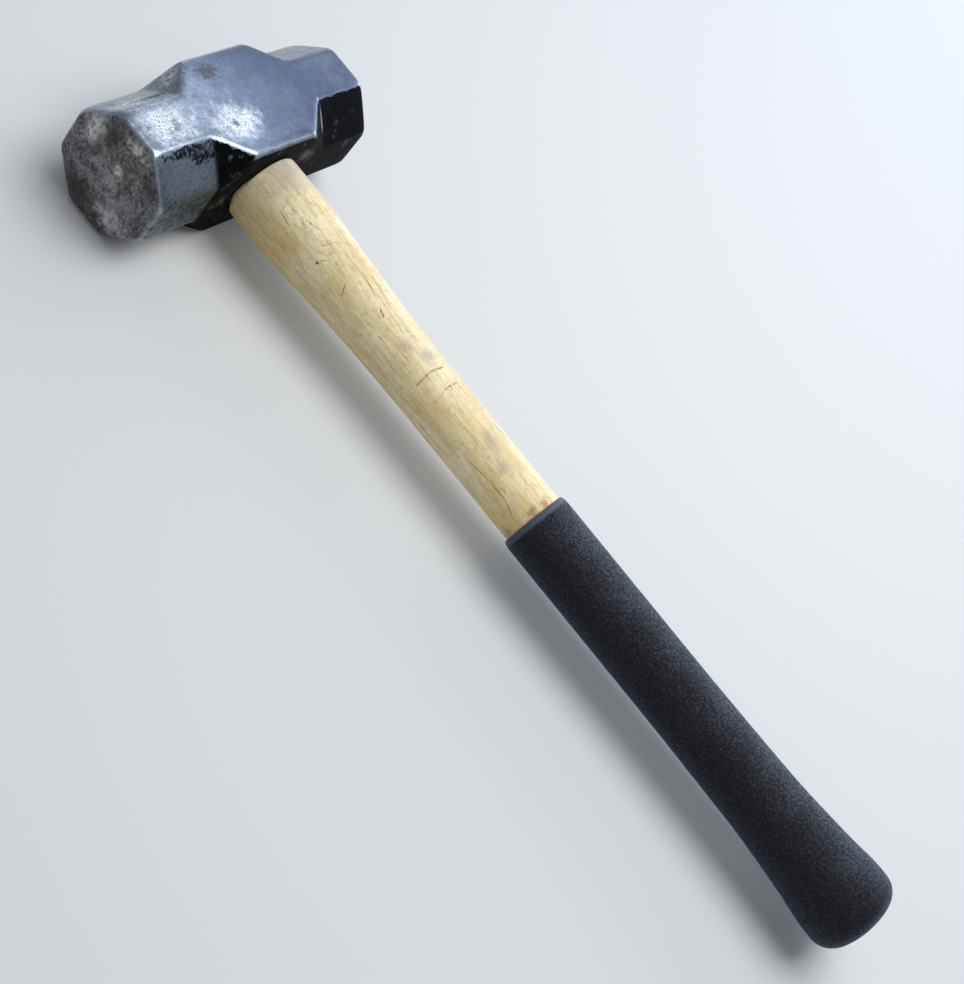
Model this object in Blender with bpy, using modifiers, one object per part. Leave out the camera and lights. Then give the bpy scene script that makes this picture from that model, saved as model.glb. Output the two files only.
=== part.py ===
"""Sledgehammer: a double-faced forged head wedged onto a wooden handle with a rubber grip.

Metres, +Z up. The hammer lies on one cheek of its head. X runs along the head from face to face,
and Y along the handle towards the head's top. The origin is on the surface that the hammer lies on,
under the handle's axis and midway along the hammer's whole length.

Every piece is modelled about the middle of the head, with the handle hanging down -Z, and is a
child of an empty that lays the whole hammer down.
"""

import math

import bmesh
import bpy
from mathutils import Matrix, Vector

# Overall
OVERALL_LENGTH = 0.492
GAP = 0.0003  # between pieces that touch

# Head: octagonal at both ends, with its full square section around the eye
HEAD_LENGTH = 0.150
HEAD_FLATS = 0.057  # across flats, the same both ways
BLOCK_LENGTH = 0.0442  # the square stretch around the eye
BLOCK_CHAMFER = 0.0025
SLOPE_LENGTH = 0.0156  # of the sloping corners between the square and an octagon
FACE_BEVEL_WIDTH = 0.0066
FACE_BEVEL_DEPTH = 0.0020
HEAD_EDGE = 0.0012  # worn edges

# Eye: an oval hole, narrowest at its waist
EYE_LENGTH = 0.034  # along the head, at the waist
EYE_WIDTH = 0.026
EYE_WAIST = 0.022  # height of the waist above the head's underside
EYE_FLARE_TOP = 0.0014  # how far the wall leans out, from the waist to the top
EYE_FLARE_FOOT = 0.0006
EYE_MOUTH = 0.0008  # chamfer around both mouths

# Handle
TENON_PROUD = 0.0020  # stands out of the head's top
SHOULDER_DEPTH = 0.0009  # ledge outside the eye, along the head
SHOULDER_WIDTH = 0.0054  # ledge outside the eye, towards the cheeks
SHOULDER_EDGE = 0.0006
WAIST_DEPTH = 0.0319  # along the head, from the waist down to the butt
WAIST_WIDTH = 0.0287
# Distance below the head, and share of the way from the neck's size to the waist's
NECK_TAPER = ((0.0, 0.0), (0.030, 0.02), (0.058, 0.46), (0.098, 0.89), (0.150, 1.0))

# Wedges: a wooden one along the eye, and two steel ones across it
WEDGE_LENGTH = 0.037
KERF_BELOW = 0.0045  # how far the saw cut goes on below the wedge's tip
WEDGE_TOP = 0.0052
WEDGE_TIP = 0.0016
STEEL_LENGTH = 0.023
STEEL_TOP = 0.0034
STEEL_TIP = 0.0008
STEEL_MARGIN = 0.0025  # wood left between a steel wedge and the eye's wall
WEDGE_SUNK = 0.0005  # below the tenon's end
STEEL_SUNK = 0.0009

# Grip
GRIP_LENGTH = 0.235
GRIP_WALL = 0.0018
GRIP_LIP = 0.0012
GRIP_BOTTOM = 0.0060
KNOB_WALL = 0.0069
KNOB_CORNER = 0.0100
KNOB_DOME = 0.0020
KNOB_END_INSET = 0.0160  # from the knob's side to the flat middle of its end
# Distance above the butt, and share of the way from the plain wall to the knob's
KNOB_SWELL = ((0.016, 1.0), (0.036, 0.62), (0.066, 0.21), (0.096, 0.08), (0.136, 0.0))

OVAL_SEGMENTS = 48
OUTLINE_STEP = 0.009  # between two sections of the handle or grip
CORNER_STEPS = 5  # sections around the knob's corner
LIP_STEPS = 3
CLEAR = 0.004  # how far a cutter runs past what it cuts

HALF_FLATS = HEAD_FLATS / 2
TENON_TOP = HALF_FLATS + TENON_PROUD
BUTT = TENON_TOP - OVERALL_LENGTH
GRIP_MOUTH = BUTT + GRIP_LENGTH
WOOD_END = BUTT + GRIP_BOTTOM
EYE_WAIST_AT = EYE_WAIST - HALF_FLATS


def clear_scene():
    for obj in list(bpy.data.objects):
        bpy.data.objects.remove(obj, do_unlink=True)


def new_collection(name):
    collection = bpy.data.collections.new(name)
    bpy.context.scene.collection.children.link(collection)
    return collection


def new_material(name, colour, roughness, metallic=0.0):
    material = bpy.data.materials.new(name)
    material.use_nodes = True
    shader = material.node_tree.nodes["Principled BSDF"]
    shader.inputs["Base Color"].default_value = (*colour, 1.0)
    shader.inputs["Roughness"].default_value = roughness
    shader.inputs["Metallic"].default_value = metallic
    material.diffuse_color = (*colour, 1.0)
    return material


def new_object(name, bm, collection, parent, material=None):
    bmesh.ops.recalc_face_normals(bm, faces=bm.faces)
    mesh = bpy.data.meshes.new(name)
    bm.to_mesh(mesh)
    bm.free()
    obj = bpy.data.objects.new(name, mesh)
    collection.objects.link(obj)
    obj.parent = parent
    if material:
        mesh.materials.append(material)
    return obj


def shade_smooth(obj, sharp_above):
    obj.data.shade_smooth()
    obj.data.set_sharp_from_angle(angle=math.radians(sharp_above))


def boolean(obj, other, operation):
    modifier = obj.modifiers.new(f"{operation.lower()} {other.name}", "BOOLEAN")
    modifier.operation = operation
    modifier.object = other


def smooth_through(stations, place):
    """The value at a place on a smooth curve through (place, value) stations, level at both ends."""
    inner = [(c[1] - a[1]) / (c[0] - a[0]) for a, c in zip(stations, stations[2:])]
    slopes = [0.0, *inner, 0.0]
    place = min(max(place, stations[0][0]), stations[-1][0])
    for start, end, leaves, arrives in zip(stations, stations[1:], slopes, slopes[1:]):
        if place <= end[0]:
            run = end[0] - start[0]
            t = (place - start[0]) / run
            from_start = start[1] + t * t * (3 - 2 * t) * (end[1] - start[1])
            return from_start + run * t * (1 - t) * ((1 - t) * leaves - t * arrives)
    return stations[-1][1]


def between(low, high, step):
    """Evenly spaced places from low to high, no further apart than step."""
    count = max(1, math.ceil((high - low) / step))
    return [low + (high - low) * i / count for i in range(count + 1)]


def loft(sections):
    """A closed skin over a row of sections, each a list of the same number of points."""
    bm = bmesh.new()
    rings = [[bm.verts.new(point) for point in section] for section in sections]
    for lower, upper in zip(rings, rings[1:]):
        for i, corner in enumerate(lower):
            after = (i + 1) % len(lower)
            bm.faces.new((corner, lower[after], upper[after], upper[i]))
    bm.faces.new(rings[0])
    bm.faces.new(rings[-1])
    return bm


def oval(half_x, half_y, z):
    turns = [2 * math.pi * i / OVAL_SEGMENTS for i in range(OVAL_SEGMENTS)]
    return [Vector((half_x * math.cos(a), half_y * math.sin(a), z)) for a in turns]


def octagon(x, half, corner):
    """A square of the given half width across X, with each corner cut back by the same amount."""
    side = half - corner
    points = [(side, -half), (half, -side), (half, side), (side, half)]
    points += [(-y, -z) for y, z in points]
    return [Vector((x, y, z)) for y, z in points]


def regular_corner(half):
    """The corner cut that makes the octagon regular."""
    return half * (2 - math.sqrt(2))


def make_head_blank(collection, parent, material):
    end = HEAD_LENGTH / 2
    slope_end = BLOCK_LENGTH / 2 + SLOPE_LENGTH
    face_half = HALF_FLATS - FACE_BEVEL_WIDTH
    right = [
        octagon(BLOCK_LENGTH / 2, HALF_FLATS, BLOCK_CHAMFER),
        octagon(slope_end, HALF_FLATS, regular_corner(HALF_FLATS)),
        octagon(end - FACE_BEVEL_DEPTH, HALF_FLATS, regular_corner(HALF_FLATS)),
        octagon(end, face_half, regular_corner(face_half)),
    ]
    left = [[Vector((-p.x, p.y, p.z)) for p in section] for section in reversed(right)]
    head = new_object("hammer_head", loft(left + right), collection, parent, material)
    worn = head.modifiers.new("worn edges", "BEVEL")
    worn.width = HEAD_EDGE
    worn.segments = 2
    worn.limit_method = "ANGLE"
    worn.angle_limit = math.radians(20)
    shade_smooth(head, sharp_above=25)
    return head


def eye_half(z):
    """Half length and half width of the eye at a height, out to past both mouths."""
    if z > EYE_WAIST_AT:
        flare = EYE_FLARE_TOP * (z - EYE_WAIST_AT) / (HALF_FLATS - EYE_WAIST_AT)
    else:
        flare = EYE_FLARE_FOOT * (EYE_WAIST_AT - z) / (EYE_WAIST_AT + HALF_FLATS)
    return EYE_LENGTH / 2 + flare, EYE_WIDTH / 2 + flare


def grown(half, by):
    return half[0] + by, half[1] + by


def make_eye_cutter(collection, parent):
    inner = HALF_FLATS - EYE_MOUTH
    outer = HALF_FLATS + CLEAR
    sections = [
        oval(*grown(eye_half(-HALF_FLATS), EYE_MOUTH + CLEAR), -outer),
        oval(*eye_half(-inner), -inner),
        oval(*eye_half(EYE_WAIST_AT), EYE_WAIST_AT),
        oval(*eye_half(inner), inner),
        oval(*grown(eye_half(HALF_FLATS), EYE_MOUTH + CLEAR), outer),
    ]
    return new_object("eye_cutter", loft(sections), collection, parent)


def neck_half():
    half_x, half_y = eye_half(-HALF_FLATS)
    return half_x + SHOULDER_DEPTH, half_y + SHOULDER_WIDTH


def handle_half(z):
    """Half depth and half width of the handle at a height below the head."""
    to_waist = smooth_through(NECK_TAPER, -HALF_FLATS - z)
    waist_half = (WAIST_DEPTH / 2, WAIST_WIDTH / 2)
    return [neck + (waist - neck) * to_waist for neck, waist in zip(neck_half(), waist_half)]


def make_handle(collection, parent, material):
    shoulder = -HALF_FLATS - GAP
    shoulder_outer = shoulder - SHOULDER_EDGE
    places = between(WOOD_END + GAP, shoulder_outer, OUTLINE_STEP)
    sections = [oval(*handle_half(z), z) for z in places]
    sections.append(oval(*grown(handle_half(shoulder_outer), -SHOULDER_EDGE), shoulder))
    for z in (shoulder, EYE_WAIST_AT, TENON_TOP):
        sections.append(oval(*grown(eye_half(z), -GAP), z))
    handle = new_object("handle", loft(sections), collection, parent, material)
    shade_smooth(handle, sharp_above=30)
    return handle


def taper(name, size_top, size_tip, top, length, collection, parent, material=None):
    """A wedge shape: a cube whose lower end is drawn in. Sizes are (x, y); it points down."""
    bm = bmesh.new()
    bmesh.ops.create_cube(bm, size=1.0)
    for vert in bm.verts:
        size = size_top if vert.co.z > 0 else size_tip
        vert.co.x *= size[0]
        vert.co.y *= size[1]
        vert.co.z = top if vert.co.z > 0 else top - length
    return new_object(name, bm, collection, parent, material)


def thickness_at(depth, top, tip, length):
    """How thick a wedge's taper is at a depth, which may lie outside its length."""
    return top + (tip - top) * depth / length


def make_wooden_wedge(parts, cutters, parent, material):
    """The wedge fills the eye's length, so its ends take the eye's curve."""
    length = EYE_LENGTH + 2 * CLEAR
    top = TENON_TOP - WEDGE_SUNK
    wedge = taper(
        "wooden_wedge",
        (length, WEDGE_TOP),
        (length, WEDGE_TIP),
        top,
        WEDGE_LENGTH,
        parts,
        parent,
        material,
    )
    low = -HALF_FLATS
    high = HALF_FLATS + CLEAR
    sections = [oval(*grown(eye_half(z), -GAP), z) for z in (low, EYE_WAIST_AT, high)]
    plug = new_object("eye_plug", loft(sections), cutters, parent)
    boolean(wedge, plug, "INTERSECT")
    return wedge


def make_kerf_cutter(cutters, parent):
    """The saw cut, opened by the wedge: it keeps the gap on both of the wedge's sides."""
    length = EYE_LENGTH + 2 * (EYE_FLARE_TOP + CLEAR)
    above_wedge = WEDGE_SUNK + CLEAR
    mouth = thickness_at(-above_wedge, WEDGE_TOP, WEDGE_TIP, WEDGE_LENGTH)
    tip = TENON_TOP - WEDGE_SUNK - WEDGE_LENGTH
    outline = [
        (mouth / 2 + GAP, TENON_TOP + CLEAR),
        (WEDGE_TIP / 2 + GAP, tip),
        (WEDGE_TIP / 2 + GAP, tip - KERF_BELOW),
    ]
    outline += [(-y, z) for y, z in reversed(outline)]
    bm = bmesh.new()
    end = bm.faces.new([bm.verts.new((-length / 2, y, z)) for y, z in outline])
    extruded = bmesh.ops.extrude_face_region(bm, geom=[end])["geom"]
    far_end = [item for item in extruded if isinstance(item, bmesh.types.BMVert)]
    bmesh.ops.translate(bm, verts=far_end, vec=(length, 0, 0))
    return new_object("kerf_cutter", bm, cutters, parent)


def steel_half_width():
    """A steel wedge stops short of the eye's wall where the wall is nearest, at the wedge's tip."""
    half_length, half_width = eye_half(max(EYE_WAIST_AT, TENON_TOP - STEEL_SUNK - STEEL_LENGTH))
    across = (EYE_LENGTH / 4 + STEEL_TOP / 2) / half_length
    return half_width * math.sqrt(1 - across**2) - STEEL_MARGIN


def make_steel_wedges(parts, cutters, parent, material, cut):
    """Two wedges across the wooden one, each a quarter of the eye's length from its middle."""
    width = 2 * steel_half_width()
    top = TENON_TOP - STEEL_SUNK
    above = STEEL_SUNK + CLEAR
    for name, side in (("steel_wedge_left", -1), ("steel_wedge_right", 1)):
        wedge = taper(
            name,
            (STEEL_TOP, width),
            (STEEL_TIP, width),
            top,
            STEEL_LENGTH,
            parts,
            parent,
            material,
        )
        slot_thickness = [
            thickness_at(depth, STEEL_TOP, STEEL_TIP, STEEL_LENGTH) + 2 * GAP
            for depth in (-above, STEEL_LENGTH + GAP)
        ]
        slot = taper(
            f"{name}_slot",
            (slot_thickness[0], width + 2 * GAP),
            (slot_thickness[1], width + 2 * GAP),
            top + above,
            above + STEEL_LENGTH + GAP,
            cutters,
            parent,
        )
        for obj in (wedge, slot):
            obj.location.x = side * EYE_LENGTH / 4
        for piece in cut:
            boolean(piece, slot, "DIFFERENCE")


def grip_half(z):
    """Half depth and half width of the grip's outside at a height, without its rounded ends."""
    wall = GRIP_WALL + (KNOB_WALL - GRIP_WALL) * smooth_through(KNOB_SWELL, z - BUTT)
    return grown(handle_half(z), GAP + wall)


def quarter_turn(steps):
    return [math.pi / 2 * i / steps for i in range(steps + 1)]


def make_grip(collection, parent, material):
    """A moulded sleeve, closed at the butt, that swells into a knob."""
    corner_top = BUTT + KNOB_DOME + KNOB_CORNER
    knob = grip_half(corner_top)
    sections = [oval(*grown(knob, -KNOB_END_INSET), BUTT)]
    for turn in quarter_turn(CORNER_STEPS):
        inward = KNOB_CORNER * (1 - math.sin(turn))
        z = corner_top - KNOB_CORNER * math.cos(turn)
        sections.append(oval(*grown(knob, -inward), z))
    lip_start = GRIP_MOUTH - GRIP_LIP
    side = between(corner_top, lip_start, OUTLINE_STEP)[1:]
    sections += [oval(*grip_half(z), z) for z in side]
    for turn in quarter_turn(LIP_STEPS)[1:]:
        inward = GRIP_LIP * (1 - math.cos(turn))
        z = lip_start + GRIP_LIP * math.sin(turn)
        sections.append(oval(*grown(grip_half(lip_start), -inward), z))
    bore = between(WOOD_END, GRIP_MOUTH, OUTLINE_STEP)
    sections += [oval(*grown(handle_half(z), GAP), z) for z in reversed(bore)]
    grip = new_object("grip_sleeve", loft(sections), collection, parent, material)
    shade_smooth(grip, sharp_above=40)
    return grip


def main():
    clear_scene()
    parts = new_collection("sledgehammer")
    cutters = new_collection("cutters")

    lay_down = bpy.data.objects.new("hammer_frame", None)
    parts.objects.link(lay_down)
    lay_down.matrix_world = Matrix.Translation(
        (0, OVERALL_LENGTH / 2 - TENON_TOP, HALF_FLATS)
    ) @ Matrix.Rotation(-math.pi / 2, 4, "X")

    forged_steel = new_material("forged steel", (0.30, 0.32, 0.36), 0.35, metallic=1.0)
    ash = new_material("ash", (0.70, 0.58, 0.38), 0.55)
    wedge_wood = new_material("wedge wood", (0.52, 0.36, 0.20), 0.60)
    mild_steel = new_material("mild steel", (0.45, 0.45, 0.46), 0.40, metallic=1.0)
    rubber = new_material("rubber", (0.03, 0.03, 0.035), 0.75)

    head = make_head_blank(parts, lay_down, forged_steel)
    boolean(head, make_eye_cutter(cutters, lay_down), "DIFFERENCE")
    handle = make_handle(parts, lay_down, ash)
    boolean(handle, make_kerf_cutter(cutters, lay_down), "DIFFERENCE")
    wooden_wedge = make_wooden_wedge(parts, cutters, lay_down, wedge_wood)
    make_steel_wedges(parts, cutters, lay_down, mild_steel, cut=(handle, wooden_wedge))
    make_grip(parts, lay_down, rubber)

    for cutter in cutters.objects:
        cutter.hide_render = True
        cutter.display_type = "WIRE"


main()
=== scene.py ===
import math

import bmesh
import bpy
import numpy as np
from mathutils import Matrix, Vector, noise


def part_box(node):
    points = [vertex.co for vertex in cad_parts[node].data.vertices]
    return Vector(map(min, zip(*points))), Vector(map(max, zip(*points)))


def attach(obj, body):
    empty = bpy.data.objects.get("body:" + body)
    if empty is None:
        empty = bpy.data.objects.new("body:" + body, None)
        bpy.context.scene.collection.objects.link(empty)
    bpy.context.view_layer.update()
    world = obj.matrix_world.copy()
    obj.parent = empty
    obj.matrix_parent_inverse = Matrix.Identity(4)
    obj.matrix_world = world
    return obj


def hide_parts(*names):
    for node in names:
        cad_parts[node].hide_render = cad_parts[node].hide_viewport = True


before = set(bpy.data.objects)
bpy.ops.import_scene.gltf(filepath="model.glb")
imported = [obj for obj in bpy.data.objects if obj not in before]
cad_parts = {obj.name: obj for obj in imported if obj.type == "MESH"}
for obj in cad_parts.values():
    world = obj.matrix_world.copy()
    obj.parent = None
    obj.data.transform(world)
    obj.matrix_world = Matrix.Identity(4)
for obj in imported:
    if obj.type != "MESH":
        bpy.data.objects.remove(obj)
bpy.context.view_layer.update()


# ---------------------------------------------------------------------------------------------
# Head. One forging of tool steel, square around the eye and octagonal towards both striking
# faces, with a wide bevel around each face. It is forged in dies with its eye punched through,
# hardened, and ground on its cheeks and faces. The wedged tenon holds it.

head_low, head_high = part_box("hammer_head")
head_middle = (head_low + head_high) / 2
half_length = (head_high.x - head_low.x) / 2
half_flats = (head_high.z - head_low.z) / 2

block_half = 0.0221  # from the middle of the head to where its corners start to slope
block_corner = 0.0025
slope_length = 0.0156
face_bevel_width = 0.0066
face_bevel_depth = 0.0020
edge_round = 0.0013
slope_round = 0.0013
barrel_places = (0.048, 0.060)  # rings along the octagonal ends, from the middle

eye_half_length = 0.0170
eye_half_width = 0.0130
eye_flare = 0.0014
eye_mouth = 0.0008
mouth_ease = 0.0004  # how far the first ring around a mouth lies outside its chamfer
mouth_skin = 0.0001
eye_sides = 16
eye_turn = 2 * math.pi / eye_sides
eye_columns = 0.0098  # between the rows of the cage that the eye is cut from
face_shares = (0.93, 0.75, 0.5, 0.25, 0.08)  # rings on a striking face, towards its middle


def octagon_corners(half, cut):
    """Corners of a square across the head, each cut back by the same amount, as (y, z) places."""
    side = half - cut
    quarter = [(side, -half), (half, -side), (half, side), (side, half)]
    return [Vector(p) for p in quarter] + [Vector((-y, -z)) for y, z in quarter]


def soft_octagon(half, cut, round_by):
    """The octagon as a ring: each side has a place near both of its ends and evenly spaced ones
    between them, so that smoothing rounds the corners and leaves the sides flat."""
    corners = octagon_corners(half, cut)
    ring = []
    for i, start in enumerate(corners):
        end = corners[(i + 1) % 8]
        along = (end - start).normalized() * min(round_by, (end - start).length * 0.3)
        inner = 1 if i % 2 == 0 else 5
        first, last = start + along, end - along
        ring += [first.lerp(last, k / (inner + 1)) for k in range(inner + 2)]
    return ring


def ring_edges(verts):
    """The edges that join a set of vertices to each other."""
    chosen = set(verts)
    return list({e for v in chosen for e in v.link_edges if e.other_vert(v) in chosen})


def start_ring(bm, column, places):
    """A ring of vertices at the given places, each remembering its column."""
    made = bmesh.ops.create_circle(bm, segments=len(places), radius=1.0)["verts"]
    for i, vert in enumerate(made):
        vert[column] = i
        vert.co = places[i]
    return made


def draw_ring(bm, column, verts, places):
    """Extrudes a ring of vertices to new places, column by column."""
    made = bmesh.ops.extrude_edge_only(bm, edges=ring_edges(verts))["geom"]
    moved = [item for item in made if isinstance(item, bmesh.types.BMVert)]
    for vert in moved:
        vert.co = places[vert[column]]
    return moved


def regular_cut(half):
    """The corner cut that makes the octagon regular."""
    return half * (2 - math.sqrt(2))


def oval_place(turn, grow, y, growth=1.0):
    """A place on the eye's oval, in a plane across the eye's axis."""
    x = (eye_half_length + grow) * growth * math.cos(turn)
    z = (eye_half_width + grow) * growth * math.sin(turn)
    return head_middle + Vector((x, y, z))


# Where the slopes and bevels lie, measured from the head's middle, and the rings between them
end_cut = regular_cut(half_flats)
slope_end = block_half + slope_length
bevel_start = half_length - face_bevel_depth
face_half = half_flats - face_bevel_width


def station_at(x):
    """Half width and corner cut of the head's section at a distance from its middle."""
    along = min(max((x - block_half) / slope_length, 0.0), 1.0)
    return half_flats, block_corner + (end_cut - block_corner) * along


stations = [
    0.0, eye_columns, 2 * eye_columns,
    block_half - slope_round, block_half + slope_round,
    (block_half + slope_end) / 2,
    slope_end - slope_round, slope_end + slope_round,
    *barrel_places, bevel_start - edge_round,
]

head_bm = bmesh.new()
column = head_bm.verts.layers.int.new("column")


def head_ring(x, half, cut, round_by):
    return [
        head_middle + Vector((x, place.x, place.y))
        for place in soft_octagon(half, cut, round_by)
    ]


def face_rings(side):
    """Rings from the side of the head, over the bevel, to near the middle of a striking face."""
    bevel = Vector((face_bevel_depth, -face_bevel_width)).normalized() * edge_round
    rings = []
    for x, half in (
        (bevel_start + bevel.x, half_flats + bevel.y),
        (half_length - bevel.x, face_half - bevel.y),
    ):
        rings.append(head_ring(side * x, half, regular_cut(half), edge_round))
    for share in face_shares:
        half = face_half * share
        rings.append(head_ring(side * half_length, half, regular_cut(half), edge_round))
    return rings


whole = [-x for x in reversed(stations[1:])] + stations
rings = list(reversed(face_rings(-1)))
rings += [head_ring(x, *station_at(abs(x)), edge_round) for x in whole]
rings += face_rings(1)
ring = start_ring(head_bm, column, rings[0])
first_ring = ring
for places in rings[1:]:
    ring = draw_ring(head_bm, column, ring, places)
for end in (first_ring, ring):
    bmesh.ops.edgeloop_fill(head_bm, edges=ring_edges(end))

# The eye: the middle of the top and of the underside is opened, and drawn through
mouths = []
side_of_block = half_flats * 0.62
for top in (1, -1):
    face_y = head_middle.y + top * half_flats
    inside = []
    for f in head_bm.faces:
        away = f.calc_center_median() - head_middle
        level = abs(away.y + head_middle.y - face_y) < 1e-5
        if level and abs(away.x) < 2 * eye_columns and abs(away.z) < side_of_block:
            inside.append(f)
    edge_verts = {
        v for f in inside for v in f.verts if any(n not in inside for n in v.link_faces)
    }
    bmesh.ops.delete(head_bm, geom=inside, context="FACES")
    step_z = max(abs(v.co.z - head_middle.z) for v in edge_verts) / 2
    for vert in edge_verts:
        offset = vert.co - head_middle
        turn = math.atan2(offset.z / step_z, offset.x / eye_columns)
        vert[column] = round(turn / eye_turn) % eye_sides
    growth = 3 / (2 + math.cos(eye_turn))  # smoothing draws the ring in by this much

    def mouth_places(grow, y):
        return [oval_place(k * eye_turn, grow, y, growth) for k in range(eye_sides)]

    flare = eye_flare if top > 0 else eye_flare / 2
    places = mouth_places(flare + eye_mouth + mouth_ease, top * half_flats)
    for vert in edge_verts:
        vert.co = places[vert[column]]
    ring = list(edge_verts)
    for grow, depth in (
        (flare + eye_mouth, mouth_skin),
        (flare, eye_mouth),
        (flare, 2 * eye_mouth),
    ):
        ring = draw_ring(head_bm, column, ring, mouth_places(grow, top * (half_flats - depth)))
    mouths.append(ring_edges(ring))
bmesh.ops.bridge_loops(head_bm, edges=mouths[0] + mouths[1])
bmesh.ops.recalc_face_normals(head_bm, faces=head_bm.faces)


def finished(name, bm, levels=0):
    """The mesh of a bmesh, smoothed by subdivision where levels are given, as a plain object."""
    mesh = bpy.data.meshes.new(name)
    bm.to_mesh(mesh)
    bm.free()
    piece = bpy.data.objects.new(name, mesh)
    bpy.context.scene.collection.objects.link(piece)
    if levels:
        smoothing = piece.modifiers.new("smoothing", "SUBSURF")
        smoothing.levels = smoothing.render_levels = levels
        apply_modifiers(piece)
    return piece


def apply_modifiers(piece):
    depsgraph = bpy.context.evaluated_depsgraph_get()
    mesh = bpy.data.meshes.new_from_object(piece.evaluated_get(depsgraph))
    piece.modifiers.clear()
    piece.data = mesh
    mesh.name = piece.name


head = finished("forged_head", head_bm, levels=3)


# Wear of the head: the hammered and ground surface is never quite flat, the striking faces are
# dented, and the corners have been knocked about. Everything is worn inwards.

def read_points(mesh):
    co = np.empty(len(mesh.vertices) * 3, np.float32)
    no = np.empty(len(mesh.vertices) * 3, np.float32)
    mesh.vertices.foreach_get("co", co)
    mesh.vertices.foreach_get("normal", no)
    return co.reshape(-1, 3).astype(float), no.reshape(-1, 3).astype(float)


def write_points(mesh, co):
    mesh.vertices.foreach_set("co", co.astype(np.float32).ravel())
    mesh.update()


def bend_of(mesh):
    """How far each vertex stands above its neighbours, over their distance: positive on an edge."""
    co, no = read_points(mesh)
    pairs = np.empty(len(mesh.edges) * 2, np.int32)
    mesh.edges.foreach_get("vertices", pairs)
    pairs = pairs.reshape(-1, 2)
    total = np.zeros(len(co))
    count = np.zeros(len(co))
    for here, there in ((0, 1), (1, 0)):
        a, b = pairs[:, here], pairs[:, there]
        away = co[a] - co[b]
        size = np.maximum(np.linalg.norm(away, axis=1), 1e-9)
        np.add.at(total, a, (away * no[a]).sum(1) / size**2)
        np.add.at(count, a, 1)
    return total / np.maximum(count, 1), pairs


def spread(values, pairs, times):
    """Averages a value with its neighbours', a few times over."""
    for _ in range(times):
        total = values.copy()
        count = np.ones(len(values))
        for a, b in (pairs.T, pairs.T[::-1]):
            np.add.at(total, a, values[b])
            np.add.at(count, a, 1)
        values = total / count
    return values


def store(mesh, name, values):
    layer = mesh.attributes.new(name, "FLOAT", "POINT")
    layer.data.foreach_set("value", np.clip(values, 0, 1).astype(np.float32))


def rippled(co, size, seed):
    """Smooth noise between -1 and 1 over a set of points, with bumps of about the given size."""
    start = Vector((seed, -seed, seed * 0.5))
    return np.array([noise.noise(Vector(p) / size + start) for p in co])


def dented(co, depth, size, seed):
    return depth * np.abs(rippled(co, size, seed))


def ramp(values, start, run):
    """0 up to the start, and 1 from one run past it."""
    return np.clip((values - start) / run, 0, 1)


co, no = read_points(head.data)
local = co - np.array(head_middle)
from_middle = np.abs(local[:, 0])
face_crown = 0.0003  # how far the rim of a striking face lies below its middle
edge_wear = 0.00035
leaning = 0.35  # the share of a face's normal along the handle, above which it counts as facing it

on_face = ramp(from_middle, half_length - 0.0015, 0.001)
depth = dented(co, 0.00005, 0.016, 3.0) + dented(co, 0.00002, 0.005, 8.0)
depth += on_face * dented(co, 0.00016, 0.007, 21.0)
crown = np.hypot(local[:, 1], local[:, 2]) / face_half
depth += on_face * face_crown * np.clip(crown, 0, 1) ** 2
bend, pairs = bend_of(head.data)
edges = np.clip(spread(bend, pairs, 1) * 0.0012, 0, 1)
depth += edges * edge_wear * np.clip(rippled(co, 0.0045, 31.0) + 0.1, 0, 1)
write_points(head.data, co - no * depth[:, None])

bend, pairs = bend_of(head.data)
store(head.data, "edge", spread(bend, pairs, 2) * 0.0016)
store(head.data, "face", ramp(from_middle, bevel_start - 0.0002, 0.0006))
store(head.data, "facing_handle", ramp(-no[:, 1], leaning, 0.3))
store(head.data, "crown", ramp(no[:, 1], leaning, 0.3))
head.data.shade_smooth()


# Finish of the head: ground and worn steel. The cheeks are bright with a fine speckle and painted
# highlights, black forging scale towards the handle is also painted shade on those faces, and the
# striking faces are mottled, brown and pitted.

def set_input(tree, socket, value):
    if isinstance(value, bpy.types.NodeSocket):
        tree.links.new(value, socket)
    elif isinstance(value, (tuple, list, Vector)) and socket.type == "RGBA":
        socket.default_value = (*value[:3], 1.0)
    else:
        socket.default_value = value


def add(tree, kind, *places, out=0, **named):
    """Adds a shader node and gives one of its outputs. A named value is a setting of the node or
    an input, and the others are inputs in order. None leaves an input as it is."""
    node = tree.nodes.new("ShaderNode" + kind)
    for name, value in named.items():
        if name.islower():
            setattr(node, name, value)
    for name, value in named.items():
        if not name.islower():
            set_input(tree, node.inputs[name.replace("_", " ")], value)
    for socket, value in zip(node.inputs, places):
        if value is not None:
            set_input(tree, socket, value)
    return node.outputs[out]


def drawn_noise(tree, point, stretch, turn=(0, 0, 0), out=0, **named):
    """Noise with its own scale along each axis, such as grinding marks and wood grain have."""
    place = add(tree, "Mapping", point, (0, 0, 0), turn, stretch)
    return add(tree, "TexNoise", place, Scale=1.0, out=out, **named)


def times(tree, a, b):
    return add(tree, "Math", a, b, operation="MULTIPLY", use_clamp=True)


def either(tree, a, b):
    return add(tree, "Math", a, b, operation="MAXIMUM")


def step(tree, value, low, high, to_low=0.0, to_high=1.0):
    """A soft step from one number to another as the value passes from low to high."""
    return add(
        tree, "MapRange", value, low, high, to_low, to_high, interpolation_type="SMOOTHSTEP"
    )


def tint(tree, share, first, second, mode="MIX"):
    node = tree.nodes.new("ShaderNodeMix")
    node.data_type = "RGBA"
    node.blend_type = mode
    set_input(tree, node.inputs[0], share)
    set_input(tree, node.inputs[6], first)
    set_input(tree, node.inputs[7], second)
    return node.outputs[2]


def shift(tree, share, first, second):
    """A plain number between two others."""
    return add(tree, "Mix", share, None, first, second)


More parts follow.
